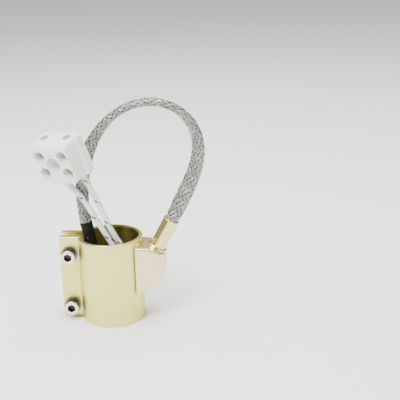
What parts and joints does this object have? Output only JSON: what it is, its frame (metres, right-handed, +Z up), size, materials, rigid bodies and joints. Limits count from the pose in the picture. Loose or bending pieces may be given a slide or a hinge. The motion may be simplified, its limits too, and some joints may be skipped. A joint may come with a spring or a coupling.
{
  "type": "band heater",
  "caption": "Clamp-on band heater for a nozzle: split metal band with clamp ears and screws, terminal hood, braided hose, leads and a ceramic terminal block.",
  "frame": {"origin": "on the bore axis, level with the band's lower rim", "axes": "+Z up along the bore; clamp ears towards -X with their screw heads towards -Y; terminal hood towards +X"},
  "size_m": [0.0808, 0.0326, 0.1115],
  "materials": {
    "sheath_brass": "satin pale brass",
    "hood_brass": "satin pale brass",
    "liner_brass": "dull, heat darkened",
    "ferrule_brass": "bright nickel on brass",
    "mica": "flaky, matt",
    "resistance_alloy": "rolled strip",
    "plated_screw": "bright nickel plate",
    "plated_washer": "nickel plate",
    "plated_nut": "nickel plate",
    "nickel": "nickel",
    "nickel_wire": "stranded, bright",
    "ceramic": "fine unglazed steatite",
    "steel_braid": "woven fine wire",
    "lead_insulation": "off-white woven glass with a black tracer",
    "sleeve_black": "matt black, shrunk on",
    "terminal_brass": "turned",
    "terminal_screw": "plated"
  },
  "bodies": {
    "heater": {"braided_hose": "steel_braid", "ceramic_beads": "ceramic", "ceramic_block": "ceramic", "clamp_nut_lower": "plated_nut", "clamp_nut_upper": "plated_nut", "contact_pins": "nickel", "ferrule": "ferrule_brass", "ferrule_collar": "ferrule_brass", "heating_ribbon": "resistance_alloy", "hose_leads": "lead_insulation", "inner_mica_sheet": "mica", "inner_sleeve": "liner_brass", "lead_bare_ends": "nickel_wire", "lead_crimps": "nickel", "lead_left": "lead_insulation", "lead_right": "lead_insulation", "lead_tails": "lead_insulation", "mica_winding_core": "mica", "outer_mica_sheet": "mica", "outer_sheath": "sheath_brass", "shrink_sleeve": "sleeve_black", "terminal_bar_left": "terminal_brass", "terminal_bar_right": "terminal_brass", "terminal_hood": "hood_brass"},
    "washer_lower": {"clamp_washer_lower": "plated_washer"},
    "screw_lower": {"clamp_screw_lower": "plated_screw"},
    "washer_upper": {"clamp_washer_upper": "plated_washer"},
    "screw_upper": {"clamp_screw_upper": "plated_screw"},
    "terminal_screw_left_out_body": {"terminal_screw_left_out": "terminal_screw"},
    "terminal_screw_left_in_body": {"terminal_screw_left_in": "terminal_screw"},
    "terminal_screw_right_out_body": {"terminal_screw_right_out": "terminal_screw"},
    "terminal_screw_right_in_body": {"terminal_screw_right_in": "terminal_screw"}
  },
  "joints": [
    {"name": "washer_lower_slide", "type": "slide", "parent": "heater", "child": "washer_lower", "axis": [0, -1, 0], "range_m": [0, 0.0028]},
    {"name": "clamp_screw_lower_turn", "type": "hinge", "parent": "washer_lower", "child": "screw_lower", "pos_m": [-0.02036, -0.0035, 0.0063], "axis": [0, -1, 0], "range_deg": [0, 1440]},
    {"name": "washer_upper_slide", "type": "slide", "parent": "heater", "child": "washer_upper", "axis": [0, -1, 0], "range_m": [0, 0.0028]},
    {"name": "clamp_screw_upper_turn", "type": "hinge", "parent": "washer_upper", "child": "screw_upper", "pos_m": [-0.02036, -0.0035, 0.0334], "axis": [0, -1, 0], "range_deg": [0, 1440]},
    {"name": "terminal_screw_left_out_turn", "type": "hinge", "parent": "heater", "child": "terminal_screw_left_out_body", "pos_m": [-0.02837, -0.00558, 0.08574], "axis": [-0.3987, -0.8607, -0.3167], "range_deg": [0, 720]},
    {"name": "terminal_screw_left_in_turn", "type": "hinge", "parent": "heater", "child": "terminal_screw_left_in_body", "pos_m": [-0.02626, -0.00351, 0.07745], "axis": [-0.3987, -0.8607, -0.3167], "range_deg": [0, 720]},
    {"name": "terminal_screw_right_out_turn", "type": "hinge", "parent": "heater", "child": "terminal_screw_right_out_body", "pos_m": [-0.01669, -0.01154, 0.08723], "axis": [-0.3987, -0.8607, -0.3167], "range_deg": [0, 720]},
    {"name": "terminal_screw_right_in_turn", "type": "hinge", "parent": "heater", "child": "terminal_screw_right_in_body", "pos_m": [-0.01458, -0.00947, 0.07894], "axis": [-0.3987, -0.8607, -0.3167], "range_deg": [0, 720]}
  ],
  "couplings": [
    {"joint": "clamp_screw_lower_turn", "follows": "washer_lower_slide", "rad_per_m": 8975},
    {"joint": "clamp_screw_upper_turn", "follows": "washer_upper_slide", "rad_per_m": 8975}
  ]
}
